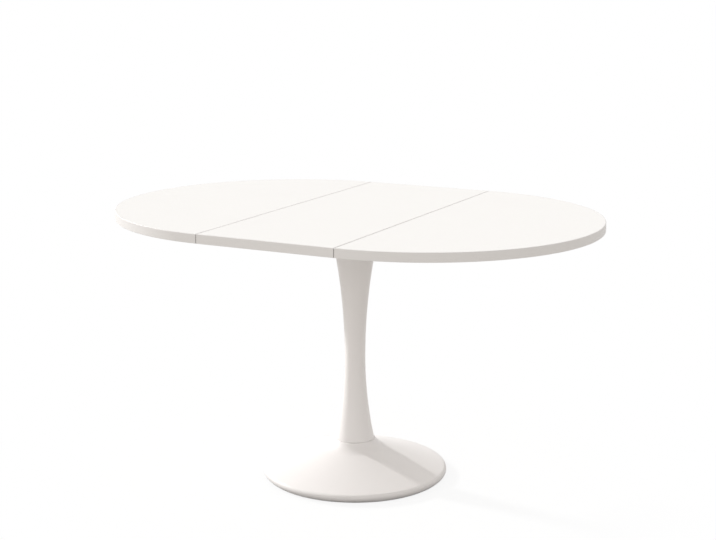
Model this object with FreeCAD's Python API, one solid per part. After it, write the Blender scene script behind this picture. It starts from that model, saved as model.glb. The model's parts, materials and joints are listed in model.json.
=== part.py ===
# Extending dining table: a round top that parts for a loose leaf, on a trumpet pedestal.
# Millimetres, +Z up, origin on the floor under the column, X along the extension.
import FreeCAD, Part
import math
import os

V = FreeCAD.Vector
ORIGIN = V(0, 0, 0)
UP = V(0, 0, 1)
HALF_TURN = 180
FULL_TURN = 360
HEXAGON = 6

# Driving dimensions: the top
table_height = 760.0
top_radius = 500.0
leaf_length = 400.0
top_thickness = 25.0
edging_thickness = 3.0
edge_ease_radius = 1.6
seam_ease_radius = 0.8
seam_gap = 1.6
slide_overtravel = 40.0

# Clearances and the one overrun of every cut
overrun = 2.0
running_clearance = 0.3
fit_clearance = 0.1

# Fixed runners and what stands on them
runner_spread = 190.0
runner_width = 26.0
runner_height = 30.0
runner_web = 10.0
runner_reach = 340.0
groove_height = 14.0
pad_thickness = 2.0
pad_length = 60.0
pad_width = 18.0
pad_spread = 70.0
pin_spread = 140.0
pin_radius = 4.0
pin_stem_radius = 2.5
pin_stem_depth = 12.0
pin_reach = 6.0
pin_taper = 2.0
bush_wall = 2.5
bush_depth = 7.0

# Rails under the halves
rail_web = 6.0
rail_flange_width = 24.0
rail_flange_thickness = 3.0
rail_skirt = 5.0
rail_end_margin = 130.0
rail_inner_length = 180.0
rail_screw_shares = (0.08, 0.5, 0.92)

# Support tongues under the leaf's edges
tongue_length = 110.0
tongue_reach = 35.0
tongue_width = 40.0
tongue_thickness = 3.0
tongue_corner = 8.0
tongue_near = 260.0
tongue_far = 340.0
tongue_screw_shares = (0.2, 0.5)

# Bearers, mounting plate and their bolts
bearer_spread = 100.0
bearer_width = 40.0
bearer_height = 25.0
bearer_wall = 2.5
bearer_overhang = 14.0
bearer_corner = 3.0
cap_thickness = 2.0
cap_plug = 10.0
plate_thickness = 6.0
plate_margin = 6.0
plate_corner = 18.0
plate_ring_height = 14.0
plate_ring_wall = 4.0
bearer_bolt_spread = 85.0

# Equaliser gear
gear_module = 2.5
pinion_teeth = 18
gear_width = 12.0
pressure_angle = math.radians(20.0)
gear_backlash = 0.3
tip_clearance_share = 0.25
flank_steps = 4
mesh_margin = 14.0
pinion_pin_radius = 5.0
pinion_pin_head_radius = 8.0
pinion_pin_head = 3.0
pinion_pin_tail = 3.5
hub_radius = 12.0
pinion_rim = 4.0
pinion_web = 5.0
washer_thickness = 2.7
ring_thickness = 1.2
ring_width = 3.5
bridge_thickness = 3.0
bridge_half_width = 64.0
bridge_corner = 10.0
bridge_slot_length = 40.0
bridge_slot_width = 16.0
bridge_screw_spread = 54.0
rack_back = 9.5
rack_tail = 75.0
rack_screw_shares = (0.25, 0.75)
block_margin = 5.0
keeper_half_length = 12.0
keeper_wall = 7.0
keeper_lip = 3.0
keeper_lip_reach = 6.0
keeper_flange = 14.0
stop_lug_length = 8.0
stop_lug_rise = 2.5

# Screws and bolts
screw_head_radius = 4.5
screw_head_height = 2.5
screw_radius = 2.2
screw_bite = 12.0
bolt_head_radius = 6.5
bolt_head_height = 4.0
bolt_radius = 3.0
bolt_bite = 14.0

# Column
column_top_radius = 62.0
column_waist_radius = 29.2
column_foot_radius = 55.0
column_waist_height = 345.0
column_wall = 3.0
neck_height = 103.0
joint_chamfer = 1.0
joint_ring_height = 10.0

# Base
base_radius = 261.5
rim_height = 26.0
rim_round = 11.0
rim_foot_inset = 8.5
base_wall = 3.0
neck_ledge = 3.0
flare_end_radius = 89.0
flare_end_height = 77.5
ballast_radius = 190.0
ballast_thickness = 14.0
boss_radius = 34.0
boss_foot_radius = 72.0
boss_shoulder_height = 52.0
bottom_plate_thickness = 2.0
bottom_screw_circle = 165.0
bottom_screw_count = 6
bottom_screw_bite = 9.0
glide_thickness = 3.0
glide_radius = 11.0
glide_inset = 24.0
glide_count = 6
glide_ease = 0.8

# Tie rod that clamps base, column and plate
rod_radius = 6.0
rod_protrusion = 3.0
nut_across_flats = 19.0
nut_height = 10.0
rod_washer_radius = 14.0
rod_washer_thickness = 2.5

# Levels and places worked out from the driving dimensions
under = table_height - top_thickness
seam_x = leaf_length / 2
leaf_half = seam_x - seam_gap
core_radius = top_radius - edging_thickness
runner_top = under - pad_thickness
runner_bottom = runner_top - runner_height
rail_outer_side = runner_spread + runner_width / 2 + running_clearance + rail_flange_width
rail_outer_length = math.sqrt(core_radius ** 2 - rail_outer_side ** 2) - rail_end_margin
groove_bottom = runner_bottom + (runner_height - groove_height) / 2
groove_top = groove_bottom + groove_height
bearer_bottom = runner_bottom - bearer_height
plate_bottom = bearer_bottom - plate_thickness
bridge_top = runner_bottom + bridge_thickness
gear_bottom = bridge_top + washer_thickness + running_clearance
gear_top = gear_bottom + gear_width
pitch_radius = gear_module * pinion_teeth / 2
rack_pitch = math.pi * gear_module
dedendum = gear_module * (1 + tip_clearance_share)
rack_root = pitch_radius + dedendum
rack_rear = rack_root + rack_back
inner_teeth = math.ceil((slide_overtravel + mesh_margin) / rack_pitch)
outer_teeth = math.ceil((seam_x + mesh_margin) / rack_pitch)
stop_face = keeper_half_length + slide_overtravel + running_clearance
rack_inner_end = max(inner_teeth * rack_pitch, stop_face + stop_lug_length)
rack_outer_start = outer_teeth * rack_pitch
floor_gap = glide_thickness
ballast_bottom = floor_gap + bottom_plate_thickness
flange_bottom = neck_height - base_wall
rod_pocket_depth = rod_washer_thickness + nut_height + rod_protrusion


# Small helpers
def box(x0, x1, y0, y1, z0, z1):
    return Part.makeBox(x1 - x0, y1 - y0, z1 - z0, V(x0, y0, z0))


def rod(radius, z0, z1, x=0, y=0):
    return Part.makeCylinder(radius, z1 - z0, V(x, y, z0), UP)


def ring(outer, inner, z0, z1, x=0, y=0):
    return rod(outer, z0, z1, x, y).cut(rod(inner, z0 - overrun, z1 + overrun, x, y))


def prism(points, direction):
    face = Part.Face(Part.makePolygon(points + points[:1]))
    return face.extrude(direction)


def turned(shape):
    """The same piece half a turn round the table's middle."""
    copy = shape.copy()
    copy.rotate(ORIGIN, UP, HALF_TURN)
    return copy


def joined(shapes):
    return shapes[0].multiFuse(shapes[1:]).removeSplitter() if len(shapes) > 1 else shapes[0]


def on_circle(radius, count, start=0.0):
    step = 2 * math.pi / count
    angles = [start + step * index for index in range(count)]
    return [(radius * math.cos(angle), radius * math.sin(angle)) for angle in angles]


def round_uprights(block, radius):
    """The block with its vertical edges rounded."""
    uprights = [edge for edge in block.Edges if abs(edge.tangentAt(edge.FirstParameter).z) > 0.5]
    return block.makeFillet(radius, uprights)


def save(name, shapes):
    pieces = shapes if isinstance(shapes, list) else [shapes]
    whole = pieces[0] if len(pieces) == 1 else Part.makeCompound(pieces)
    whole.exportStep(os.path.join("parts", name + ".step"))


def line_edge(a, b):
    return Part.LineSegment(V(a[0], 0, a[1]), V(b[0], 0, b[1])).toShape()


def arc_edge(centre, a, b):
    """Arc under half a turn from a to b about centre, in radius and height."""
    radius = math.dist(centre, a)
    middle = ((a[0] + b[0]) / 2 - centre[0], (a[1] + b[1]) / 2 - centre[1])
    stretch = radius / math.hypot(*middle)
    top = (centre[0] + middle[0] * stretch, centre[1] + middle[1] * stretch)
    return Part.Arc(V(a[0], 0, a[1]), V(top[0], 0, top[1]), V(b[0], 0, b[1])).toShape()


def lathe(edges, angle=FULL_TURN):
    """Solid turned about the Z axis from a closed outline of radius and height."""
    face = Part.Face(Part.Wire(edges))
    return face.revolve(ORIGIN, UP, angle)


def lathe_lines(points):
    return lathe([line_edge(a, b) for a, b in zip(points, points[1:] + points[:1])])


def screw_up(x, y, seat, tip, grow=0.0):
    """Pan-head screw driven upwards: its head is under the seat, its point at the tip."""
    head = rod(screw_head_radius + grow, seat - screw_head_height, seat, x, y)
    return head.fuse(rod(screw_radius + grow, seat, tip + grow, x, y)).removeSplitter()


def bolt(x, y, seat, tip, grow=0.0):
    """Bolt driven upwards, with a hexagon head under the seat."""
    corners = [V(x + px, y + py, seat) for px, py in on_circle(bolt_head_radius, HEXAGON)]
    head = prism(corners, V(0, 0, -bolt_head_height))
    return head.fuse(rod(bolt_radius + grow, seat, tip + grow, x, y)).removeSplitter()


def cut_all(shape, tools):
    return shape.cut(Part.makeCompound(tools)) if tools else shape


# Top panels and their edgings
def eased_strip(depth, length, ease):
    """Edging along X whose outer face is at y = 0 and whose outer corners are eased."""
    low, high = under, table_height
    centre_low = V(0, -ease, low + ease)
    centre_high = V(0, -ease, high - ease)
    reach = ease * math.sqrt(0.5)
    inner_low, inner_high = V(0, -depth, low), V(0, -depth, high)
    foot, lower = V(0, -ease, low), V(0, 0, low + ease)
    upper, head = V(0, 0, high - ease), V(0, -ease, high)
    edges = [
        Part.LineSegment(inner_low, foot).toShape(),
        Part.Arc(foot, centre_low + V(0, reach, -reach), lower).toShape(),
        Part.LineSegment(lower, upper).toShape(),
        Part.Arc(upper, centre_high + V(0, reach, reach), head).toShape(),
        Part.LineSegment(head, inner_high).toShape(),
        Part.LineSegment(inner_high, inner_low).toShape(),
    ]
    strip = Part.Face(Part.Wire(edges)).extrude(V(length, 0, 0))
    strip.translate(V(-length / 2, 0, 0))
    return strip


def round_edging():
    """Half-round edging of the left half."""
    ease = edge_ease_radius
    inner, outer = core_radius, top_radius
    low, high = under, table_height
    edges = [
        line_edge((inner, low), (outer - ease, low)),
        arc_edge((outer - ease, low + ease), (outer - ease, low), (outer, low + ease)),
        line_edge((outer, low + ease), (outer, high - ease)),
        arc_edge((outer - ease, high - ease), (outer, high - ease), (outer - ease, high)),
        line_edge((outer - ease, high), (inner, high)),
        line_edge((inner, high), (inner, low)),
    ]
    half = lathe(edges, HALF_TURN)
    half.rotate(ORIGIN, UP, HALF_TURN / 2)
    half.translate(V(-seam_x, 0, 0))
    return half


def seam_edging():
    """Straight edging of the left half, along the seam."""
    strip = eased_strip(edging_thickness, 2 * top_radius, seam_ease_radius)
    strip.rotate(ORIGIN, UP, -HALF_TURN / 2)
    strip.translate(V(-seam_x, 0, 0))
    return strip.common(rod(core_radius, under - overrun, table_height + overrun, -seam_x))


def half_core():
    """Board of the left half, inside its edgings."""
    disc = rod(core_radius, under, table_height, -seam_x)
    keep = box(-seam_x - top_radius, -seam_x - edging_thickness, -top_radius, top_radius,
               under - overrun, table_height + overrun)
    return disc.common(keep)


def leaf_core():
    reach = leaf_half - edging_thickness
    return box(-reach, reach, -core_radius, core_radius, under, table_height)


def leaf_end_edgings():
    strip = eased_strip(edging_thickness, 2 * leaf_half, edge_ease_radius)
    strip.translate(V(0, top_radius, 0))
    return [strip, turned(strip)]


def leaf_seam_edgings():
    strip = eased_strip(edging_thickness, 2 * core_radius, seam_ease_radius)
    strip.rotate(ORIGIN, UP, -HALF_TURN / 2)
    strip.translate(V(leaf_half, 0, 0))
    return [strip, turned(strip)]


# Slides
def runner():
    """Fixed I-section runner on the +Y side."""
    half_width = runner_width / 2
    bar = box(-runner_reach, runner_reach, runner_spread - half_width, runner_spread + half_width,
              runner_bottom, runner_top)
    depth = (runner_width - runner_web) / 2
    for side in (-1, 1):
        face = runner_spread + side * half_width
        inside = face - side * depth
        bar = bar.cut(box(-runner_reach - overrun, runner_reach + overrun,
                          min(face + side * overrun, inside), max(face + side * overrun, inside),
                          groove_bottom, groove_top))
    return bar


def rail(side):
    """Left half's rail on the +Y runner: side +1 runs outside the runner, -1 inside."""
    face = runner_spread + side * (runner_width / 2 + running_clearance)
    groove_depth = (runner_width - runner_web) / 2
    tip = face - side * (groove_depth - running_clearance)
    x0 = -seam_x - rail_outer_length
    x1 = -seam_x + rail_inner_length

    def slab(ya, yb, z0, z1, end):
        return box(x0, end, min(ya, yb), max(ya, yb), z0, z1)

    flange_bottom_z = under - rail_flange_thickness
    web = slab(face, face + side * rail_web, groove_bottom - rail_skirt, flange_bottom_z, x1)
    tongue = slab(tip, face, groove_bottom + running_clearance, groove_top - running_clearance, x1)
    flange = slab(face, face + side * rail_flange_width, flange_bottom_z, under, -seam_x)
    return joined([web, tongue, flange])


def rail_screw_places(side):
    face = runner_spread + side * (runner_width / 2 + running_clearance)
    y = face + side * (rail_web + rail_flange_width) / 2
    return [(-seam_x - rail_outer_length * share, y) for share in rail_screw_shares]


def tongue_places():
    """Centre lines of the left half's two support tongues."""
    return (tongue_far, -tongue_near)


def tongues():
    x1 = -seam_x + tongue_reach
    half_width = tongue_width / 2
    plates = [box(x1 - tongue_length, x1, y - half_width, y + half_width,
                  under - tongue_thickness, under) for y in tongue_places()]
    return [round_uprights(plate, tongue_corner) for plate in plates]


def tongue_screw_places():
    x0 = -seam_x + tongue_reach - tongue_length
    return [(x0 + tongue_length * share, y) for y in tongue_places() for share in tongue_screw_shares]


def leaf_pin_places():
    return [(sx * pin_spread, sy * runner_spread) for sx in (-1, 1) for sy in (-1, 1)]


def leaf_pin(x, y):
    """Pin under the leaf, with its stem in the board and its nose in a runner's bush."""
    tip = runner_top - pin_reach
    stem = rod(pin_stem_radius, under, under + pin_stem_depth, x, y)
    body = rod(pin_radius, tip + pin_taper, under, x, y)
    nose = Part.makeCone(pin_radius - pin_taper, pin_radius, pin_taper, V(x, y, tip), UP)
    return joined([stem, body, nose])


def bush_outer_radius():
    return pin_radius + running_clearance + bush_wall


def runner_bush(x, y):
    return ring(bush_outer_radius(), pin_radius + running_clearance, runner_top - bush_depth, runner_top, x, y)


# Equaliser gear
def rack_outline():
    """Left rack on the +Y side: straight-sided teeth that point at the pinion."""
    lean = math.tan(pressure_angle)
    half_tooth = rack_pitch / 4 - gear_backlash / 4
    tip_half = half_tooth - gear_module * lean
    root_half = half_tooth + dedendum * lean
    crest = pitch_radius - gear_module
    points = [V(-rack_outer_start - rack_tail, rack_rear, gear_bottom),
              V(-rack_outer_start - rack_tail, rack_root, gear_bottom)]
    for index in range(-outer_teeth, inner_teeth):
        middle = (index + 0.5) * rack_pitch
        points += [V(middle - root_half, rack_root, gear_bottom), V(middle - tip_half, crest, gear_bottom),
                   V(middle + tip_half, crest, gear_bottom), V(middle + root_half, rack_root, gear_bottom)]
    points += [V(rack_inner_end, rack_root, gear_bottom), V(rack_inner_end, rack_rear, gear_bottom)]
    return points


def rack():
    bar = prism(rack_outline(), V(0, 0, gear_width))
    lug = box(stop_face, rack_inner_end, rack_root, rack_rear, gear_top, gear_top + stop_lug_rise
              + running_clearance)
    return bar.fuse(lug).removeSplitter()


def rack_block():
    """Spacer that hangs the rack's tail from the board."""
    return box(-rack_outer_start - rack_tail, -rack_outer_start,
               rack_root, rack_rear + block_margin, gear_top, under)


def rack_screw_places():
    y = rack_root + rack_back / 2
    return [(-rack_outer_start - rack_tail * share, y) for share in rack_screw_shares]


def rack_keeper():
    """Nylon channel on the bridge that holds the left rack in mesh."""
    reach = keeper_half_length
    wall_face = rack_rear + running_clearance
    lip_bottom = gear_top + running_clearance
    top = lip_bottom + keeper_lip
    floor = box(-reach, reach, rack_root, wall_face, bridge_top, gear_bottom - running_clearance)
    wall = box(-reach, reach, wall_face, wall_face + keeper_wall, bridge_top, top)
    lip = box(-reach, reach, wall_face - keeper_lip_reach, wall_face, lip_bottom, top)
    flange = box(-reach, reach, wall_face + keeper_wall, wall_face + keeper_wall + keeper_flange,
                 bridge_top, bridge_top + keeper_lip)
    return joined([floor, wall, lip, flange])


def keeper_screw_place():
    return (0, rack_rear + running_clearance + keeper_wall + keeper_flange / 2)


def screw_down(x, y, seat, tip, grow=0.0):
    """Pan-head screw driven downwards from the seat."""
    head = rod(screw_head_radius, seat, seat + screw_head_height, x, y)
    return head.fuse(rod(screw_radius + grow, tip - grow, seat, x, y)).removeSplitter()


def involute(base, roll):
    return (base * (math.cos(roll) + roll * math.sin(roll)), base * (math.sin(roll) - roll * math.cos(roll)))


def pinion_flank(tooth_angle, side):
    """Points of one flank, from root to tip; side +1 leads and -1 trails the tooth's middle."""
    base = pitch_radius * math.cos(pressure_angle)
    tip = pitch_radius + gear_module
    rolls = math.sqrt((tip / base) ** 2 - 1)
    pitch_roll = math.tan(pressure_angle)
    half_tooth = (rack_pitch / 2 - gear_backlash / 2) / (2 * pitch_radius)
    offset = half_tooth + pitch_roll - pressure_angle
    points = []
    for step in range(flank_steps + 1):
        x, y = involute(base, rolls * step / flank_steps)
        radius, angle = math.hypot(x, y), math.atan2(y, x)
        turn = tooth_angle + side * (offset - angle)
        points.append(V(radius * math.cos(turn), radius * math.sin(turn), gear_bottom))
    root = pitch_radius - dedendum
    foot = tooth_angle + side * offset
    return [V(root * math.cos(foot), root * math.sin(foot), gear_bottom)] + points


def pinion():
    """Involute pinion with a tooth on the Y axis, to sit in the racks' gaps."""
    outline = []
    for index in range(pinion_teeth):
        middle = math.pi / 2 + 2 * math.pi * index / pinion_teeth
        outline += pinion_flank(middle, -1)
        outline += pinion_flank(middle, 1)[::-1]
    wheel = prism(outline, V(0, 0, gear_width))
    dish = (gear_width - pinion_web) / 2
    dish_radius = pitch_radius - dedendum - pinion_rim
    cuts = [rod(pinion_pin_radius + fit_clearance, gear_bottom - overrun, gear_top + overrun),
            ring(dish_radius, hub_radius, gear_bottom - overrun, gear_bottom + dish),
            ring(dish_radius, hub_radius, gear_top - dish, gear_top + overrun)]
    return cut_all(wheel, cuts)


def pinion_pin():
    head = rod(pinion_pin_head_radius, runner_bottom - pinion_pin_head, runner_bottom)
    return head.fuse(rod(pinion_pin_radius, runner_bottom, gear_top + pinion_pin_tail)).removeSplitter()


def bridge_screw_places():
    return [(sx * bearer_spread, sy * bridge_screw_spread) for sx in (-1, 1) for sy in (-1, 1)]


def gear_bridge():
    """Plate between the bearers that carries the pinion, with a slot each side of it."""
    reach = bearer_spread + bearer_width / 2
    plate = box(-reach, reach, -bridge_half_width, bridge_half_width, runner_bottom, bridge_top)
    slots = []
    for side in (-1, 1):
        middle = side * (bearer_spread - bearer_width / 2 - bridge_slot_length / 2 - bridge_slot_width / 2)
        slot = box(middle - bridge_slot_length / 2, middle + bridge_slot_length / 2, -bridge_slot_width / 2,
                   bridge_slot_width / 2, runner_bottom - overrun, bridge_top + overrun)
        slots.append(round_uprights(slot, bridge_slot_width / 2 - fit_clearance))
    return cut_all(round_uprights(plate, bridge_corner), slots)


# Bearers and mounting plate
def bearer_reach():
    return runner_spread + runner_width / 2 + bearer_overhang


def bearer():
    """Right-hand bearer, a rectangular tube along Y."""
    reach = bearer_reach()
    half_width = bearer_width / 2

    def bar(inset, past):
        block = box(bearer_spread - half_width + inset, bearer_spread + half_width - inset,
                    -reach - past, reach + past, bearer_bottom + inset, runner_bottom - inset)
        corners = [edge for edge in block.Edges if abs(edge.tangentAt(edge.FirstParameter).y) > 0.5]
        return block.makeFillet(bearer_corner - inset * bearer_corner / (2 * bearer_wall), corners)

    return bar(0, 0).cut(bar(bearer_wall, overrun))


def bearer_cap():
    """Cap on the +Y end of the right-hand bearer, with a plug inside the tube."""
    reach = bearer_reach()

    def slab(inset, y0, y1):
        half_width = bearer_width / 2 - inset
        block = box(bearer_spread - half_width, bearer_spread + half_width, y0, y1,
                    bearer_bottom + inset, runner_bottom - inset)
        corners = [edge for edge in block.Edges if abs(edge.tangentAt(edge.FirstParameter).y) > 0.5]
        return block.makeFillet(bearer_corner / 2, corners)

    lid = slab(0, reach, reach + cap_thickness)
    plug = slab(bearer_wall + fit_clearance, reach - cap_plug, reach)
    return joined([lid, plug])


def column_line(end_radius, end_height):
    """Centre and radius of the column arc that leaves the waist upright and meets the end."""
    across = end_radius - column_waist_radius
    along = end_height - column_waist_height
    radius = (across ** 2 + along ** 2) / (2 * across)
    return (column_waist_radius + radius, column_waist_height), radius


def column_radius(end_radius, end_height, height, inset=0.0):
    centre, radius = column_line(end_radius, end_height)
    return centre[0] - math.sqrt((radius + inset) ** 2 - (height - centre[1]) ** 2)


def mounting_plate():
    """Plate under the bearers, with a ring that drops into the column's mouth."""
    half = bearer_spread + bearer_width / 2 + plate_margin
    slab = round_uprights(box(-half, half, -half, half, plate_bottom, bearer_bottom), plate_corner)
    low = plate_bottom - plate_ring_height
    outer = column_radius(column_top_radius, plate_bottom, low, column_wall) - running_clearance
    collar = ring(outer, outer - plate_ring_wall, low, plate_bottom)
    bore = rod(rod_radius + running_clearance, plate_bottom - overrun, bearer_bottom + overrun)
    return slab.fuse(collar).removeSplitter().cut(bore)


def bearer_bolt_places():
    return [(sx * bearer_spread, sy * bearer_bolt_spread) for sx in (-1, 1) for sy in (-1, 1)]


def runner_bolt_places():
    return [(sx * bearer_spread, sy * runner_spread) for sx in (-1, 1) for sy in (-1, 1)]


# Pedestal
def column():
    """Waisted trumpet shell from the base's neck to the mounting plate."""
    top, foot = plate_bottom, neck_height
    upper, _ = column_line(column_top_radius, top)
    lower, _ = column_line(column_foot_radius, foot)

    def upper_point(height, inset):
        return (column_radius(column_top_radius, top, height, inset), height)

    def lower_point(height, inset):
        return (column_radius(column_foot_radius, foot, height, inset), height)

    waist = column_waist_height
    chamfer_start = lower_point(foot + joint_chamfer, 0.0)
    edges = [
        line_edge(lower_point(foot, column_wall), (chamfer_start[0] - joint_chamfer, foot)),
        line_edge((chamfer_start[0] - joint_chamfer, foot), chamfer_start),
        arc_edge(lower, chamfer_start, lower_point(waist, 0.0)),
        arc_edge(upper, upper_point(waist, 0.0), upper_point(top, 0.0)),
        line_edge(upper_point(top, 0.0), upper_point(top, column_wall)),
        arc_edge(upper, upper_point(top, column_wall), upper_point(waist, column_wall)),
        arc_edge(lower, lower_point(waist, column_wall), lower_point(foot, column_wall)),
    ]
    return lathe(edges)


def joint_ring():
    """Ring on the base's neck that centres the column."""
    top = neck_height + joint_ring_height
    outer = column_radius(column_foot_radius, neck_height, top, column_wall) - fit_clearance
    return ring(outer, rod_radius + running_clearance, neck_height, top)


def tangent_point(point, centre, radius, side):
    """Where the line from a point touches a circle, on its left (+1) or right (-1)."""
    reach = math.dist(point, centre)
    bearing = math.atan2(centre[1] - point[1], centre[0] - point[0])
    angle = bearing + side * math.asin(radius / reach)
    length = math.sqrt(reach ** 2 - radius ** 2)
    return (point[0] + length * math.cos(angle), point[1] + length * math.sin(angle))


def base_curve():
    """Flare circle, cone, rim circle and rim side of the base's outer face."""
    rim_centre = (base_radius - rim_round, rim_height - rim_round)
    flare_end = (flare_end_radius, flare_end_height)
    rim_start = tangent_point(flare_end, rim_centre, rim_round, 1)
    foot = (base_radius - rim_foot_inset, floor_gap)
    rim_end = tangent_point(foot, rim_centre, rim_round, -1)
    slope = math.atan2(rim_start[1] - flare_end[1], rim_start[0] - flare_end[0])
    normal = (-math.sin(slope), math.cos(slope))
    neck = (column_foot_radius + neck_ledge, neck_height)
    away = (flare_end[0] - neck[0], flare_end[1] - neck[1])
    lean = away[0] * normal[0] + away[1] * normal[1]
    flare_radius = -(away[0] ** 2 + away[1] ** 2) / (2 * lean)
    flare_centre = (flare_end[0] + flare_radius * normal[0], flare_end[1] + flare_radius * normal[1])
    return flare_centre, flare_radius, flare_end, normal, rim_centre, rim_start, rim_end, foot


def moved(point, direction, length):
    return (point[0] + direction[0] * length, point[1] + direction[1] * length)


def base_shell():
    """Spun trumpet with an inward flange at the neck and an open underside."""
    flare_centre, flare_radius, flare_end, normal, rim_centre, rim_start, rim_end, foot = base_curve()

    def flare_point(height, inset):
        radius = flare_radius + inset
        return (flare_centre[0] - math.sqrt(radius ** 2 - (height - flare_centre[1]) ** 2), height)

    lean = math.atan2(rim_end[1] - foot[1], rim_end[0] - foot[0])
    inward = (-math.sin(lean), math.cos(lean))
    neck_low = flare_point(neck_height - joint_chamfer, 0.0)
    neck_edge = (neck_low[0] - joint_chamfer, neck_height)
    inner_neck = flare_point(flange_bottom, base_wall)
    inner_flare_end = moved(flare_end, normal, -base_wall)
    inner_rim_start = moved(rim_start, normal, -base_wall)
    inner_rim_end = moved(rim_end, inward, base_wall)
    inner_foot = (foot[0] - base_wall / math.sin(lean), floor_gap)
    bore = rod_radius + running_clearance
    edges = [
        line_edge((bore, neck_height), neck_edge),
        line_edge(neck_edge, neck_low),
        arc_edge(flare_centre, neck_low, flare_end),
        line_edge(flare_end, rim_start),
        arc_edge(rim_centre, rim_start, rim_end),
        line_edge(rim_end, foot),
        line_edge(foot, inner_foot),
        line_edge(inner_foot, inner_rim_end),
        arc_edge(rim_centre, inner_rim_end, inner_rim_start),
        line_edge(inner_rim_start, inner_flare_end),
        arc_edge(flare_centre, inner_flare_end, inner_neck),
        line_edge(inner_neck, (bore, flange_bottom)),
        line_edge((bore, flange_bottom), (bore, neck_height)),
    ]
    return lathe(edges)


def inner_foot_radius():
    """Radius inside the rim at the height of the bottom plate's lower face."""
    rim_end, foot = base_curve()[6:]
    lean = math.atan2(rim_end[1] - foot[1], rim_end[0] - foot[0])
    return foot[0] - base_wall / math.sin(lean)


def bottom_screw_places():
    return on_circle(bottom_screw_circle, bottom_screw_count)


def bottom_screw(x, y, grow=0.0):
    head = rod(screw_head_radius + grow, floor_gap, ballast_bottom, x, y)
    tip = ballast_bottom + bottom_screw_bite + grow
    return head.fuse(rod(screw_radius + grow, ballast_bottom, tip, x, y)).removeSplitter()


def ballast():
    """Cast disc with a boss that carries the base's neck flange."""
    bore = rod_radius + running_clearance
    pocket = rod_washer_radius + running_clearance
    top = ballast_bottom + ballast_thickness
    pocket_top = ballast_bottom + rod_pocket_depth
    body = lathe_lines([(bore, pocket_top), (pocket, pocket_top), (pocket, ballast_bottom),
                        (ballast_radius, ballast_bottom), (ballast_radius, top), (boss_foot_radius, top),
                        (boss_radius, boss_shoulder_height), (boss_radius, flange_bottom),
                        (bore, flange_bottom)])
    return cut_all(body, [bottom_screw(x, y, fit_clearance) for x, y in bottom_screw_places()])


def bottom_plate():
    disc = rod(inner_foot_radius() - running_clearance, floor_gap, ballast_bottom)
    return cut_all(disc, [bottom_screw(x, y, fit_clearance) for x, y in bottom_screw_places()])


def glide(x, y):
    body = rod(glide_radius, glide_ease, glide_thickness, x, y)
    foot = Part.makeCone(glide_radius - glide_ease, glide_radius, glide_ease, V(x, y, 0), UP)
    return joined([body, foot])


def nut(z0):
    corner = nut_across_flats / math.sqrt(3)
    block = prism([V(x, y, z0) for x, y in on_circle(corner, HEXAGON)], V(0, 0, nut_height))
    return block.cut(rod(rod_radius + fit_clearance, z0 - overrun, z0 + nut_height + overrun))


def rod_washer(z0):
    return ring(rod_washer_radius, rod_radius + fit_clearance, z0, z0 + rod_washer_thickness)


# Build each sub-assembly and write its nodes
def write_halves():
    rails = {"rear": rail(-1), "front": rail(1).mirror(ORIGIN, V(0, 1, 0))}
    rail_spots = {"rear": rail_screw_places(-1), "front": [(x, -y) for x, y in rail_screw_places(1)]}
    flange_seat = under - rail_flange_thickness
    tip = under + screw_bite

    rail_screws = []
    holes = []
    for end, spots in rail_spots.items():
        rail_screws += [screw_up(x, y, flange_seat, tip) for x, y in spots]
        tools = [screw_up(x, y, flange_seat, tip, fit_clearance) for x, y in spots]
        rails[end] = cut_all(rails[end], tools)
        holes += tools

    tongue_seat = under - tongue_thickness
    tongue_screws = [screw_up(x, y, tongue_seat, tip) for x, y in tongue_screw_places()]
    tongue_holes = [screw_up(x, y, tongue_seat, tip, fit_clearance) for x, y in tongue_screw_places()]
    plates = [cut_all(plate, tongue_holes) for plate in tongues()]

    rack_seat = gear_bottom + screw_head_height
    rack_screws = [screw_up(x, y, rack_seat, tip) for x, y in rack_screw_places()]
    rack_holes = [screw_up(x, y, rack_seat, tip, fit_clearance) for x, y in rack_screw_places()]

    pieces = {
        "panel": cut_all(half_core(), holes + tongue_holes + rack_holes),
        "edging": round_edging(),
        "seam_edging": seam_edging(),
        "rear_rail": rails["rear"],
        "front_rail": rails["front"],
        "rail_screws": rail_screws,
        "leaf_tongues": plates,
        "tongue_screws": tongue_screws,
        "rack": cut_all(rack(), rack_holes),
        "rack_block": cut_all(rack_block(), rack_holes),
        "rack_screws": rack_screws,
    }
    swapped = {"rear_rail": "front_rail", "front_rail": "rear_rail"}
    for name, shape in pieces.items():
        shapes = shape if isinstance(shape, list) else [shape]
        save("left_" + name, shapes)
        save("right_" + swapped.get(name, name), [turned(piece) for piece in shapes])


def write_leaf():
    sockets = [rod(pin_stem_radius, under - overrun, under + pin_stem_depth, x, y)
               for x, y in leaf_pin_places()]
    save("leaf_panel", cut_all(leaf_core(), sockets))
    save("leaf_end_edgings", leaf_end_edgings())
    save("leaf_seam_edgings", leaf_seam_edgings())
    save("leaf_locating_pins", [leaf_pin(x, y) for x, y in leaf_pin_places()])


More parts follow.
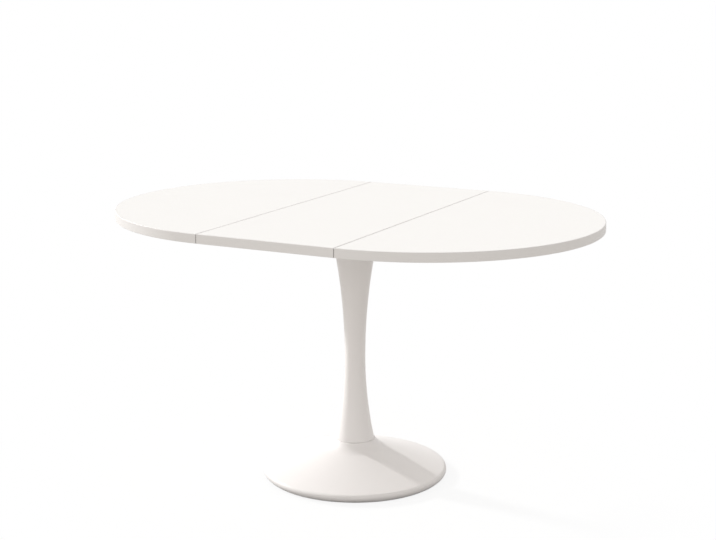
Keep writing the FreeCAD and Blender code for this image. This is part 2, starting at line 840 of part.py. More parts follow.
def write_slide_frame():
    tip = runner_bottom + bolt_bite
    runner_bolts = [bolt(x, y, bearer_bottom, tip) for x, y in runner_bolt_places()]
    runner_holes = [bolt(x, y, bearer_bottom, tip, fit_clearance) for x, y in runner_bolt_places()]
    bush_seats = [rod(bush_outer_radius(), runner_top - bush_depth, runner_top + overrun, x, y)
                  for x, y in leaf_pin_places()]
    plain_runner = runner()
    save("rear_runner", cut_all(plain_runner, runner_holes + bush_seats))
    save("front_runner", cut_all(turned(plain_runner), runner_holes + bush_seats))
    save("runner_bolts", runner_bolts)
    save("runner_bushes", [runner_bush(x, y) for x, y in leaf_pin_places()])
    pads = [box(sx * pad_spread - pad_length / 2, sx * pad_spread + pad_length / 2,
                sy * runner_spread - pad_width / 2, sy * runner_spread + pad_width / 2,
                runner_top, under) for sx in (-1, 1) for sy in (-1, 1)]
    save("leaf_rest_pads", pads)

    bolt_tip = bearer_bottom + bearer_wall + overrun
    plate_bolts = [bolt(x, y, plate_bottom, bolt_tip) for x, y in bearer_bolt_places()]
    plate_holes = [bolt(x, y, plate_bottom, bolt_tip, fit_clearance) for x, y in bearer_bolt_places()]
    bridge_tip = runner_bottom - bearer_wall - overrun
    bridge_screws = [screw_down(x, y, bridge_top, bridge_tip) for x, y in bridge_screw_places()]
    bridge_holes = [screw_down(x, y, bridge_top, bridge_tip, fit_clearance)
                    for x, y in bridge_screw_places()]
    right_bearer = bearer()
    bearer_holes = runner_holes + plate_holes + bridge_holes
    save("right_bearer", cut_all(right_bearer, bearer_holes))
    save("left_bearer", cut_all(turned(right_bearer), bearer_holes))
    rear_cap = bearer_cap()
    front_cap = rear_cap.mirror(ORIGIN, V(0, 1, 0))
    save("bearer_caps", [rear_cap, front_cap, turned(rear_cap), turned(front_cap)])
    save("mounting_plate", cut_all(mounting_plate(), plate_holes))
    save("bearer_bolts", plate_bolts)
    save("bridge_screws", bridge_screws)
    return bridge_holes


def write_gear(bridge_holes):
    x, y = keeper_screw_place()
    seat = bridge_top + keeper_lip
    tip = runner_bottom
    keeper_screw = screw_down(x, y, seat, tip)
    keeper_hole = screw_down(x, y, seat, tip - overrun, fit_clearance)
    keeper = rack_keeper().cut(keeper_hole)
    pin_hole = rod(pinion_pin_radius + fit_clearance, runner_bottom - overrun, bridge_top + overrun)
    save("gear_bridge", cut_all(gear_bridge(), bridge_holes + [pin_hole, keeper_hole, turned(keeper_hole)]))
    save("rear_rack_keeper", keeper)
    save("front_rack_keeper", turned(keeper))
    save("keeper_screws", [keeper_screw, turned(keeper_screw)])
    save("pinion_pin", pinion_pin())
    save("thrust_washer", ring(hub_radius, pinion_pin_radius + fit_clearance, bridge_top,
                               bridge_top + washer_thickness))
    save("pinion", pinion())
    ring_low = gear_top + running_clearance
    save("retaining_ring", ring(pinion_pin_radius + ring_width, pinion_pin_radius, ring_low,
                                ring_low + ring_thickness))


def write_pedestal():
    save("column", column())
    save("column_joint_ring", joint_ring())
    save("base_shell", base_shell())
    save("ballast", ballast())
    save("bottom_plate", bottom_plate())
    save("bottom_screws", [bottom_screw(x, y) for x, y in bottom_screw_places()])
    glide_circle = inner_foot_radius() - glide_inset
    save("glides", [glide(x, y) for x, y in on_circle(glide_circle, glide_count)])
    lower_washer = ballast_bottom + rod_pocket_depth - rod_washer_thickness
    lower_nut = lower_washer - nut_height
    upper_nut = bearer_bottom + rod_washer_thickness
    save("tie_rod", rod(rod_radius, lower_nut - rod_protrusion, upper_nut + nut_height + rod_protrusion))
    save("tie_rod_nuts", [nut(lower_nut), nut(upper_nut)])
    save("tie_rod_washers", [rod_washer(lower_washer), rod_washer(bearer_bottom)])


os.makedirs("parts", exist_ok=True)
write_halves()
write_leaf()
write_gear(write_slide_frame())
write_pedestal()
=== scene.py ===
"""Finishes, fittings and studio of the extending dining table."""
import json
import logging
import math
from collections.abc import Callable
from dataclasses import dataclass, field
from enum import Enum

import bpy
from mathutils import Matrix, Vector


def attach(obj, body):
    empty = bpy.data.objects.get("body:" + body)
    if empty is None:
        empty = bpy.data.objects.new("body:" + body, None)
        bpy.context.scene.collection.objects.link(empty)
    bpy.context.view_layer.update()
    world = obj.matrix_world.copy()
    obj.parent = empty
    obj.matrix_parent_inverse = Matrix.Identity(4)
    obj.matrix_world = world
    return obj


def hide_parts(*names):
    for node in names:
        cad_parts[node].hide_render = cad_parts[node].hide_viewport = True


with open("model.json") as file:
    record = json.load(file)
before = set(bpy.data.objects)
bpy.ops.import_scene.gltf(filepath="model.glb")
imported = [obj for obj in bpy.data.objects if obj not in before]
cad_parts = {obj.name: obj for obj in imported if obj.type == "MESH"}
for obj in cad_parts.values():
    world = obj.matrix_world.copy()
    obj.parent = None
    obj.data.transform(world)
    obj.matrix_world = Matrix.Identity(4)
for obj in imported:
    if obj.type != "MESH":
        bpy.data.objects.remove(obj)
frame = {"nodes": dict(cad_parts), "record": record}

Colour = tuple[float, float, float]
Point = tuple[float, float, float]
Rule = Callable[[float], float] | float
LOG = logging.getLogger("dining_table")
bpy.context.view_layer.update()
PHOTO_WIDTH = 716
PHOTO_HEIGHT = 540
WHITE = (1.0, 1.0, 1.0, 1.0)
OPAQUE = 1.0
SHARP_ANGLE = math.radians(32.0)
QUARTER = math.pi / 2
QUARTERS = 4
SIXTH = math.pi / 3
HEXAGON_SIDES = 6
# Radius to a hexagon's flats as a share of that to its corners, and the slope of its chamfers.
FLAT_SHARE = math.cos(SIXTH / 2)
CHAMFER_SLOPE = math.tan(SIXTH / 2)
# Decimals of a metre to which points are welded, and to which solids are put in order.
WELD_DIGITS = 6
ORDER_DIGITS = 4


def opaque(colour: Colour) -> tuple[float, float, float, float]:
    """Return a colour with full alpha."""
    return (*colour, OPAQUE)


def linked(name: str, data: bpy.types.ID) -> bpy.types.Object:
    """Make an object of some data and link it to the scene.

    Args:
        name: the object's name.
        data: its mesh, light or camera.

    Returns:
        The new object.
    """
    thing = bpy.data.objects.new(name, data)
    bpy.context.scene.collection.objects.link(thing)
    return thing


class Ease(Enum):
    """How a mapped value runs between its ends, by Blender's name."""

    EVEN = "LINEAR"
    SMOOTH = "SMOOTHSTEP"


class Sheet:
    """Adds and links nodes in one shader tree."""

    # Places of a Mix node's colour sockets: factor, first and second colour, and the result.
    MIX_INPUTS = (0, 6, 7)
    MIX_RESULT = 2

    def __init__(self, tree: bpy.types.NodeTree) -> None:
        """Keep the tree that the nodes go into."""
        self.tree = tree

    @classmethod
    def blank(cls, owner: bpy.types.Material | bpy.types.World) -> "Sheet":
        """Switch on the nodes of a material or world and empty them.

        Args:
            owner: the material or world.

        Returns:
            A sheet on its empty tree.
        """
        owner.use_nodes = True
        owner.node_tree.nodes.clear()
        return cls(owner.node_tree)

    def add(self, kind: str, **settings: object) -> bpy.types.Node:
        """Add a node.

        Args:
            kind: Blender's type name without the ShaderNode prefix.
            settings: properties of the node.

        Returns:
            The new node.
        """
        node = self.tree.nodes.new("ShaderNode" + kind)
        for name, value in settings.items():
            setattr(node, name, value)
        return node

    def plug(self, value: object, socket: bpy.types.NodeSocket) -> None:
        """Link an output to an input, or set the input to a value.

        Args:
            value: the output socket or the value.
            socket: the input.
        """
        if isinstance(value, bpy.types.NodeSocket):
            self.tree.links.new(value, socket)
        else:
            socket.default_value = value

    def feed(self, node: bpy.types.Node, **sockets: object) -> bpy.types.Node:
        """Set or link a node's inputs.

        Args:
            node: the node to feed.
            sockets: input names, with spaces as underscores, to values or output sockets.

        Returns:
            The same node.
        """
        for name, value in sockets.items():
            self.plug(value, node.inputs[name.replace("_", " ")])
        return node

    def group(self, tree: bpy.types.NodeTree, **sockets: object) -> bpy.types.Node:
        """Place a node group and feed its inputs."""
        return self.feed(self.add("Group", node_tree=tree), **sockets)

    def place(self) -> bpy.types.NodeSocket:
        """Return the place on the object, in metres."""
        return self.add("TexCoord").outputs["Object"]

    def noise(self, place: bpy.types.NodeSocket, scale: object, detail: float) -> bpy.types.NodeSocket:
        """Return a cloudy value from 0 to 1 at a place."""
        return self.feed(self.add("TexNoise"), Vector=place, Scale=scale, Detail=detail).outputs[0]

    def maths(self, operation: str, first: object, second: object = 0.0) -> bpy.types.NodeSocket:
        """Add a Math node.

        Args:
            operation: Blender's name of the operation.
            first: value or socket of the first input.
            second: value or socket of the second input.

        Returns:
            The node's output.
        """
        node = self.add("Math", operation=operation)
        for value, socket in zip((first, second), node.inputs):
            self.plug(value, socket)
        return node.outputs[0]

    def vectors(self, operation: str, *values: object) -> bpy.types.Node:
        """Add a Vector Math node.

        Args:
            operation: Blender's name of the operation.
            values: value or socket of each input, in order.

        Returns:
            The new node.
        """
        node = self.add("VectorMath", operation=operation)
        for value, socket in zip(values, node.inputs):
            self.plug(value, socket)
        return node

    def spread(self, value: bpy.types.NodeSocket, low: float, high: float, start: float = 0.0,
               end: float = 1.0, ease: Ease = Ease.EVEN) -> bpy.types.NodeSocket:
        """Map a value to a range.

        Args:
            value: the socket to map.
            low: result at the start.
            high: result at the end.
            start: value that gives the low result.
            end: value that gives the high result.
            ease: how the result runs between them.

        Returns:
            The mapped output.
        """
        node = self.add("MapRange", interpolation_type=ease.value)
        self.feed(node, Value=value, From_Min=start, From_Max=end, To_Min=low, To_Max=high)
        return node.outputs["Result"]

    def mix(self, factor: object, first: object, second: object) -> bpy.types.NodeSocket:
        """Mix two colours.

        Args:
            factor: value or socket.
            first: colour or socket at factor 0.
            second: colour or socket at factor 1.

        Returns:
            The mixed colour.
        """
        node = self.add("Mix", data_type="RGBA")
        for value, index in zip((factor, first, second), self.MIX_INPUTS):
            self.plug(value, node.inputs[index])
        return node.outputs[self.MIX_RESULT]


class Effects:
    """Shader node groups that several finishes share, each built once."""

    # Middle of a noise value, and the detail of each group's noise.
    NOISE_MIDDLE = 0.5
    CLOUD_DETAIL = 4.0
    FINE_DETAIL = 2.0
    BROAD_DETAIL = 3.0
    WEAR_DETAIL = 5.0
    DUST_DETAIL = 6.0
    # Gain from an edge's turn to its mask, and the range that makes the wear patchy.
    BEVEL_SAMPLES = 4
    EDGE_GAIN = 6.0
    WEAR_LOW = -0.6
    WEAR_HIGH = 1.6
    # Share of open space at which a gap starts to take painted shade, and at which the painted shade is
    # full.
    GAP_SAMPLES = 8
    GAP_OPEN = 0.6
    GAP_SHUT = 0.2

    def __init__(self) -> None:
        """Build the groups."""
        self.drift = self._tone_drift()
        self.relief = self._relief()
        self.edges = self._edges()
        self.dust = self._dust()
        self.painted_gap_shade = self._painted_gap_shade()

    @staticmethod
    def _group(name: str, inputs: dict[str, str],
               outputs: dict[str, str]) -> tuple[Sheet, bpy.types.Node, bpy.types.Node]:
        """Start a group with named sockets.

        Args:
            name: the group's name.
            inputs: socket name to its type.
            outputs: socket name to its type.

        Returns:
            A sheet on the group's tree, its input node and its output node.
        """
        tree = bpy.data.node_groups.new(name, "ShaderNodeTree")
        for label, kind in inputs.items():
            tree.interface.new_socket(label, in_out="INPUT", socket_type="NodeSocket" + kind)
        for label, kind in outputs.items():
            tree.interface.new_socket(label, in_out="OUTPUT", socket_type="NodeSocket" + kind)
        return Sheet(tree), tree.nodes.new("NodeGroupInput"), tree.nodes.new("NodeGroupOutput")

    def _tone_drift(self) -> bpy.types.NodeTree:
        """Build the group that varies a colour slowly over the surface.

        Returns:
            The group's tree.
        """
        inputs = {"Colour": "Color", "Amount": "Float", "Scale": "Float"}
        sheet, source, result = self._group("tone drift", inputs, {"Colour": "Color"})
        cloud = sheet.noise(sheet.place(), source.outputs["Scale"], self.CLOUD_DETAIL)
        swing = sheet.maths("SUBTRACT", cloud, self.NOISE_MIDDLE)
        level = sheet.maths("ADD", sheet.maths("MULTIPLY", swing, source.outputs["Amount"]), 1.0)
        scaled = sheet.feed(sheet.vectors("SCALE", source.outputs["Colour"]), Scale=level)
        sheet.feed(result, Colour=scaled.outputs[0])
        return sheet.tree

    def _relief(self) -> bpy.types.NodeTree:
        """Build the group of fine grain, stretched along an axis where the finish is drawn.

        Returns:
            The group's tree.
        """
        inputs = {"Stretch": "Vector", "Scale": "Float", "Coarse": "Float"}
        outputs = {"Height": "Float", "Cloud": "Float"}
        sheet, source, result = self._group("fine relief", inputs, outputs)
        place = sheet.vectors("MULTIPLY", sheet.place(), source.outputs["Stretch"]).outputs[0]
        fine = sheet.noise(place, source.outputs["Scale"], self.FINE_DETAIL)
        broad = sheet.noise(place, source.outputs["Coarse"], self.BROAD_DETAIL)
        sheet.feed(result, Height=fine, Cloud=broad)
        return sheet.tree

    def _edges(self) -> bpy.types.NodeTree:
        """Build the group that finds edges and rounds their shading.

        Returns:
            The group's tree.
        """
        inputs = {"Radius": "Float", "Scale": "Float"}
        outputs = {"Mask": "Float", "Normal": "Vector"}
        sheet, source, result = self._group("edge wear", inputs, outputs)
        bevel = sheet.feed(sheet.add("Bevel", samples=self.BEVEL_SAMPLES), Radius=source.outputs["Radius"])
        face = sheet.add("NewGeometry").outputs["Normal"]
        likeness = sheet.vectors("DOT_PRODUCT", bevel.outputs[0], face).outputs["Value"]
        sharp = sheet.maths("MULTIPLY", sheet.maths("SUBTRACT", 1.0, likeness), self.EDGE_GAIN)
        patch = sheet.noise(sheet.place(), source.outputs["Scale"], self.WEAR_DETAIL)
        worn = sheet.maths("MULTIPLY", sharp, sheet.spread(patch, self.WEAR_LOW, self.WEAR_HIGH))
        clamp = sheet.feed(sheet.add("Clamp"), Value=worn)
        sheet.feed(result, Mask=clamp.outputs[0], Normal=bevel.outputs[0])
        return sheet.tree

    def _dust(self) -> bpy.types.NodeTree:
        """Build the group that gathers dust on faces that look up.

        Returns:
            The group's tree.
        """
        sheet, source, result = self._group("settled dust", {"Scale": "Float"}, {"Mask": "Float"})
        facing = sheet.feed(sheet.add("SeparateXYZ"), Vector=sheet.add("NewGeometry").outputs["Normal"])
        upward = sheet.maths("MAXIMUM", facing.outputs["Z"], 0.0)
        patch = sheet.noise(sheet.place(), source.outputs["Scale"], self.DUST_DETAIL)
        sheet.feed(result, Mask=sheet.maths("MULTIPLY", upward, patch))
        return sheet.tree

    def _painted_gap_shade(self) -> bpy.types.NodeTree:
        """Build the group that finds narrow gaps by ambient occlusion, where shade is painted.

        Returns:
            The group's tree.
        """
        sheet, source, result = self._group("painted gap shade", {"Reach": "Float"}, {"Mask": "Float"})
        gap = sheet.add("AmbientOcclusion", samples=self.GAP_SAMPLES)
        sheet.feed(gap, Distance=source.outputs["Reach"])
        shut = sheet.spread(gap.outputs["AO"], 0.0, 1.0, self.GAP_OPEN, self.GAP_SHUT)
        sheet.feed(result, Mask=shut)
        return sheet.tree


class Surface(Enum):
    """How a finish's fine relief runs, as the share of its scale along each axis."""

    EVEN = (1.0, 1.0, 1.0)
    ALONG_X = (0.02, 1.0, 1.0)


@dataclass(frozen=True)
class Finish:
    """One finish: its colour, gloss and fine detail, with sizes in metres and scales per metre."""

    slot: str
    colour: Colour
    roughness: float
    metallic: float = 0.0
    coat: float = 0.0
    coat_roughness: float = 0.25
    specular: float = 0.5
    drift: float = 0.03
    drift_per_m: float = 5.0
    grain_per_m: float = 900.0
    cloud_per_m: float = 40.0
    relief: float = 0.04
    relief_depth: float = 0.0002
    rough_swing: float = 0.08
    wear: float = 0.0
    wear_per_m: float = 120.0
    wear_colour: Colour = (0.6, 0.6, 0.6)
    edge_radius: float = 0.0006
    dust: float = 0.0
    dust_per_m: float = 35.0
    dust_colour: Colour = (0.62, 0.58, 0.52)
    # Painted shade in narrow gaps, from ambient occlusion: its strength, its reach in metres and its
    # colour.
    painted_gap_shade: float = 0.0
    painted_shade_reach: float = 0.004
    painted_shade_colour: Colour = (0.16, 0.15, 0.14)
    surface: Surface = Surface.EVEN

    def material(self, effects: Effects) -> bpy.types.Material:
        """Build the finish's material.

        Args:
            effects: the shared node groups.

        Returns:
            The new material, named for the slot.
        """
        material = bpy.data.materials.new(self.slot)
        sheet = Sheet.blank(material)
        drift = sheet.group(effects.drift, Colour=opaque(self.colour), Amount=self.drift,
                            Scale=self.drift_per_m)
        relief = sheet.group(effects.relief, Stretch=self.surface.value, Scale=self.grain_per_m,
                             Coarse=self.cloud_per_m)
        edges = sheet.group(effects.edges, Radius=self.edge_radius, Scale=self.wear_per_m)
        tone = drift.outputs["Colour"]
        if self.wear:
            tone = self._layer(sheet, tone, edges, self.wear, self.wear_colour)
        if self.dust:
            dust = sheet.group(effects.dust, Scale=self.dust_per_m)
            tone = self._layer(sheet, tone, dust, self.dust, self.dust_colour)
        # Narrow gaps are darkened with painted shade.
        if self.painted_gap_shade:
            painted_gap_shade = sheet.group(effects.painted_gap_shade, Reach=self.painted_shade_reach)
            tone = self._layer(sheet, tone, painted_gap_shade, self.painted_gap_shade, self.painted_shade_colour)
        rough = sheet.spread(relief.outputs["Cloud"], self.roughness - self.rough_swing,
                             self.roughness + self.rough_swing)
        bump = sheet.feed(sheet.add("Bump"), Strength=self.relief, Distance=self.relief_depth,
                          Height=relief.outputs["Height"], Normal=edges.outputs["Normal"])
        shader = sheet.add("BsdfPrincipled")
        sheet.feed(shader, Base_Color=tone, Roughness=rough, Normal=bump.outputs[0])
        sheet.feed(shader, Metallic=self.metallic, Specular_IOR_Level=self.specular, Coat_Weight=self.coat,
                   Coat_Roughness=self.coat_roughness)
        sheet.feed(sheet.add("OutputMaterial"), Surface=shader.outputs[0])
        return material

    @staticmethod
    def _layer(sheet: Sheet, tone: bpy.types.NodeSocket, effect: bpy.types.Node, amount: float,
               colour: Colour) -> bpy.types.NodeSocket:
        """Return the tone with a colour laid over it where an effect's mask says."""
        return sheet.mix(sheet.maths("MULTIPLY", effect.outputs["Mask"], amount), tone, opaque(colour))


FINISHES = (
    Finish("white_board", (0.86, 0.85, 0.835), 0.42, drift=0.02, grain_per_m=1400.0, relief=0.05,
           wear=0.10, wear_colour=(0.93, 0.92, 0.90), edge_radius=0.0004),
    # The edging's white is greyer than the board's: partly the edge band's own tone, partly painted shade
    # on the upright edges.
    Finish("white_edging", (0.812, 0.795, 0.787), 0.46, specular=0.4, drift=0.03, grain_per_m=700.0,
           # The edging takes painted shade in the gaps between the pieces.
           relief=0.06, wear=0.15, wear_colour=(0.90, 0.89, 0.87), edge_radius=0.0008, painted_gap_shade=0.9),
    Finish("white_lacquer", (0.90, 0.876, 0.870), 0.44, coat=0.05, specular=0.3, drift=0.02,
           grain_per_m=650.0, relief=0.05, wear=0.08, wear_colour=(0.92, 0.91, 0.90), dust=0.03),
    Finish("grey_powder_coat", (0.42, 0.42, 0.43), 0.55, drift=0.08, drift_per_m=20.0, grain_per_m=500.0,
           relief=0.15, wear=0.3, wear_colour=(0.6, 0.6, 0.6)),
    Finish("anodised_aluminium", (0.72, 0.72, 0.73), 0.36, metallic=1.0, drift=0.05, relief=0.10,
           surface=Surface.ALONG_X, wear=0.3, wear_colour=(0.85, 0.85, 0.85)),
    Finish("zinc_steel", (0.62, 0.62, 0.60), 0.34, metallic=1.0, drift=0.12, drift_per_m=60.0,
           cloud_per_m=150.0, rough_swing=0.12, relief=0.08, wear=0.4, wear_colour=(0.75, 0.75, 0.74)),
    Finish("white_nylon", (0.82, 0.81, 0.77), 0.5, drift=0.04, drift_per_m=30.0, grain_per_m=400.0,
           relief=0.05, wear=0.2, wear_colour=(0.88, 0.87, 0.84)),
    Finish("grey_pad", (0.05, 0.05, 0.052), 0.85, drift=0.2, drift_per_m=200.0, grain_per_m=1500.0,
           relief=0.3, wear=0.2, wear_colour=(0.12, 0.12, 0.12)),
    Finish("black_plastic", (0.03, 0.03, 0.031), 0.5, drift=0.15, drift_per_m=80.0, grain_per_m=1100.0,
           relief=0.25, wear=0.25, wear_colour=(0.09, 0.09, 0.09)),
    Finish("cast_iron", (0.12, 0.12, 0.12), 0.7, metallic=0.4, drift=0.2, drift_per_m=40.0,
           grain_per_m=300.0, relief=0.5, wear=0.2, wear_colour=(0.25, 0.25, 0.25)),
)


@dataclass(frozen=True)
class Island:
    """One separate solid of a node: the corners of its box and the radius about its upright axis."""

    low: Vector
    high: Vector
    radius: float

    @property
    def axis(self) -> tuple[float, float]:
        """Return the place of the upright axis."""
        return (self.low.x + self.high.x) / 2, (self.low.y + self.high.y) / 2

    @property
    def order(self) -> tuple[float, float]:
        """Return the rounded corner that islands are sorted by."""
        return round(self.low.x, ORDER_DIGITS), round(self.low.y, ORDER_DIGITS)


def islands(node: str) -> list[Island]:
    """Find the separate solids in a node's mesh.

    Args:
        node: the node's name.

    Returns:
        One island for each solid, in a steady order.
    """
    mesh = frame["nodes"][node].data
    owner = list(range(len(mesh.vertices)))

    def root(index: int) -> int:
        """Follow the owners of a vertex.

        Args:
            index: the vertex.

        Returns:
            The vertex that stands for its solid so far.
        """
        while owner[index] != index:
            owner[index] = owner[owner[index]]
            index = owner[index]
        return index

    places: dict[tuple[float, ...], int] = {}
    for vertex in mesh.vertices:
        first = places.setdefault(tuple(round(value, WELD_DIGITS) for value in vertex.co), vertex.index)
        owner[root(vertex.index)] = root(first)
    for edge in mesh.edges:
        owner[root(edge.vertices[0])] = root(edge.vertices[1])
    groups: dict[int, list[Vector]] = {}
    for vertex in mesh.vertices:
        groups.setdefault(root(vertex.index), []).append(vertex.co)
    found = []
    for points in groups.values():
        low = Vector(map(min, zip(*points)))
        high = Vector(map(max, zip(*points)))
        found.append(Island(low, high, (high.x - low.x) / 2))
    return sorted(found, key=lambda island: island.order)


class Drive(Enum):
    """Which way a fastener is driven, as the step from its head to its point."""

    UP = 1
    DOWN = -1


class RingMesh:
    """Mesh of rings round an upright axis, written from the seen end of a fastener to its point."""

    LEAST_ROWS = 2

    def __init__(self, angles: list[float]) -> None:
        """Keep the angles that every ring has points at."""
        self.angles = angles
        self.rings: list[list[Point]] = []

    def ring(self, radius: Rule, depth: Rule) -> None:
        """Add a ring.

        Args:
            radius: radius, or a rule that gives it at an angle.
            depth: distance behind the seen end, or a rule that gives it at an angle.
        """
        points = []
        for angle in self.angles:
            reach = radius(angle) if callable(radius) else radius
            down = depth(angle) if callable(depth) else depth
            points.append((reach * math.cos(angle), reach * math.sin(angle), down))
        self.rings.append(points)

    def thread(self, radius: float, pitch: float, bite: float, start: float, end: float,
               steps: int = 4) -> None:
        """Add the rings of a thread.

        Args:
            radius: radius over the thread's crests.
            pitch: length of one turn.
            bite: depth of the thread.
            start: depth of the first ring.
            end: depth of the last ring.
            steps: rings to a turn.
        """
        rows = max(self.LEAST_ROWS, round(abs(end - start) / pitch * steps))
        for row in range(rows + 1):
            depth = start + (end - start) * row / rows
            turns = depth / pitch
            self.ring(lambda angle, at=turns: radius - bite * self._groove(at - angle / math.tau), depth)

    @staticmethod
    def _groove(turns: float) -> float:
        """Return 0 at a crest and 1 at a root, for a place counted in turns."""
        return 1.0 - abs(2.0 * (turns % 1.0) - 1.0)

    def placed(self, seats: list[tuple[Point, Drive]],
               closed: bool = False) -> tuple[list[Point], list[list[int]]]:
        """Copy the rings to each seat and join them with faces.

        Args:
            seats: the seen end's place of each copy, and its drive.
            closed: True joins the last ring to the first; False caps both.

        Returns:
            The points and the faces of all copies.
        """
        points: list[Point] = []
        faces: list[list[int]] = []
        count = len(self.angles)
        last_ring = len(self.rings) - 1
        pairs = list(zip(range(last_ring), range(1, last_ring + 1)))
        if closed:
            pairs.append((last_ring, 0))
        for (x, y, z), drive in seats:
            first = len(points)
            for ring in self.rings:
                points += [(x + px, y + py, z + drive.value * depth) for px, py, depth in ring]
            copy = []
            for low, high in pairs:
                near = first + low * count
                far = first + high * count
                for here in range(count):
                    then = (here + 1) % count
                    copy.append([near + here, near + then, far + then, far + here])
            if not closed:
                last = first + last_ring * count
                copy.append(list(range(first, first + count))[::-1])
                copy.append(list(range(last, last + count)))
            faces += copy if drive is Drive.UP else [face[::-1] for face in copy]
        return points, faces


@dataclass(frozen=True)
class PanScrew:
    """Pan-head screw with a cross recess; its head's radius and its length come from the node."""

    head_height: float = 0.0025
    shank_radius: float = 0.0022
    recess_reach: float = 0.0021
    recess_width: float = 0.0011
    recess_depth: float = 0.0014
    thread_pitch: float = 0.0014
    thread_bite: float = 0.0005
    point_length: float = 0.0025
    crown_share: float = 0.12
    crest_share: float = 2 / 3
    dome_share: float = math.cos(SIXTH / 2)
    brow_share: float = math.cos(SIXTH / 4)
    shoulder_share: float = 0.45
    recess_floor_share: float = 0.45

    def recess(self, angle: float) -> float:
        """Work out the outline of the cross recess.

        Args:
            angle: angle about the screw's axis.

        Returns:
            The recess's radius there.
        """
        turn = abs((angle + QUARTER / 2) % QUARTER - QUARTER / 2)
        half = self.recess_width / 2
        if turn <= math.atan2(half, self.recess_reach):
            return self.recess_reach / math.cos(turn)
        return half / math.sin(turn)

    def angles(self) -> list[float]:
        """Choose the angles of the rings.

        Returns:
            Angles that hold every corner of the recess.
        """
        corner = math.atan2(self.recess_width / 2, self.recess_reach)
        between = (corner + QUARTER / 2) / 2
        steps = (0.0, corner, between, QUARTER / 2, QUARTER - between, QUARTER - corner)
        return [QUARTER * turn + step for turn in range(QUARTERS) for step in steps]

    def rings(self, radius: float, length: float) -> RingMesh:
        """Lay out the screw.

        Args:
            radius: radius of the head.
            length: length from the head's crown to the point.

        Returns:
            The rings, from the recess's floor to the point.
        """
        crown = self.head_height * self.crown_share
        shoulder = self.head_height * self.shoulder_share
        tip = length - self.point_length

        def crest(angle: float) -> float:
            """Return the radius of the head's highest ring at an angle."""
            return self.recess(angle) + (radius - self.recess(angle)) * self.crest_share

        mesh = RingMesh(self.angles())
        mesh.ring(lambda angle: self.recess(angle) * self.recess_floor_share, self.recess_depth)
        mesh.ring(self.recess, crown / 2)
        mesh.ring(crest, 0.0)
        mesh.ring(radius * self.dome_share, crown)
        mesh.ring(radius * self.brow_share, shoulder / 2)
        mesh.ring(radius, shoulder)
        mesh.ring(radius, self.head_height)
        mesh.ring(self.shank_radius, self.head_height)
        mesh.thread(self.shank_radius, self.thread_pitch, self.thread_bite, self.head_height, tip)
        mesh.ring(self.thread_bite, length)
        return mesh


def hexagon_angles(steps: int) -> list[float]:
    """Return angles round a circle, with the given number to each side of a hexagon."""
    return [SIXTH * index / steps for index in range(HEXAGON_SIDES * steps)]


def hexagon_radius(corner: float, angle: float) -> float:
    """Return the radius at an angle of a hexagon with a corner on the X axis."""
    return corner * FLAT_SHARE / math.cos(angle % SIXTH - SIXTH / 2)


@dataclass(frozen=True)
class HexBolt:
    """Hexagon-head bolt with a chamfered head and a washer face."""

    head_height: float = 0.004
    shank_radius: float = 0.003
    washer_face: float = 0.0004
    thread_pitch: float = 0.001
    thread_bite: float = 0.0005
    end_chamfer: float = 0.0008
    crown_share: float = 0.94
    steps: int = 4

    def rings(self, radius: float, length: float) -> RingMesh:
        """Lay out the bolt.

        Args:
            radius: radius over the head's corners.
            length: length from the head's top to the point.

        Returns:
            The rings, from the head's top to the point.
        """
        crown = radius * FLAT_SHARE * self.crown_share
        seat = self.head_height - self.washer_face
        tip = length - self.end_chamfer

        def side(angle: float) -> float:
            """Return the hexagon's radius at an angle."""
            return hexagon_radius(radius, angle)

        mesh = RingMesh(hexagon_angles(self.steps))
        mesh.ring(crown, 0.0)
        mesh.ring(side, lambda angle: (side(angle) - crown) * CHAMFER_SLOPE)
        mesh.ring(side, seat)
        mesh.ring(crown, seat)
        mesh.ring(crown, self.head_height)
        mesh.ring(self.shank_radius, self.head_height)
        mesh.thread(self.shank_radius, self.thread_pitch, self.thread_bite, self.head_height, tip)
        mesh.ring(self.shank_radius - self.end_chamfer, length)
        return mesh


@dataclass(frozen=True)
class HexNut:
    """Hexagon nut, chamfered on both faces, with a threaded bore."""

    bore_radius: float = 0.0061
    countersink: float = 0.0008
    thread_pitch: float = 0.00175
    thread_bite: float = 0.0006
    crown_share: float = 0.95
    steps: int = 4

    def rings(self, radius: float, height: float) -> RingMesh:
        """Lay out the nut.

        Args:
            radius: radius over the corners.
            height: height of the nut.

        Returns:
            The rings, round the section from the bore's near end.
        """
        crown = radius * FLAT_SHARE * self.crown_share
        mouth = self.bore_radius + self.countersink
        root = self.bore_radius + self.thread_bite

        def side(angle: float) -> float:
            """Return the hexagon's radius at an angle."""
            return hexagon_radius(radius, angle)

        def drop(angle: float) -> float:
            """Return the chamfer's depth at an angle."""
            return (side(angle) - crown) * CHAMFER_SLOPE

        mesh = RingMesh(hexagon_angles(self.steps))
        mesh.ring(mouth, 0.0)
        mesh.ring(crown, 0.0)
        mesh.ring(side, drop)
        mesh.ring(side, lambda angle: height - drop(angle))
        mesh.ring(crown, height)
        mesh.ring(mouth, height)
        mesh.thread(root, self.thread_pitch, self.thread_bite, height - self.countersink, self.countersink)
        return mesh


@dataclass
class Palette:
    """The finishes as materials, by slot."""

    materials: dict[str, bpy.types.Material] = field(default_factory=dict)
    slots: dict[str, str] = field(default_factory=dict)

    def build(self, effects: Effects) -> None:
        """Make one material for each slot and note each node's slot."""
        self.materials = {finish.slot: finish.material(effects) for finish in FINISHES}
        self.slots = {part["node"]: part["material_slot"] for part in frame["record"]["subparts"]}

    def paint(self, piece: bpy.types.Object, node: str) -> None:
        """Give a piece the finish of a node."""
        piece.data.materials.clear()
        piece.data.materials.append(self.materials[self.slots[node]])


class Side(Enum):
    """The two halves of the top."""

    LEFT = "left"
    RIGHT = "right"


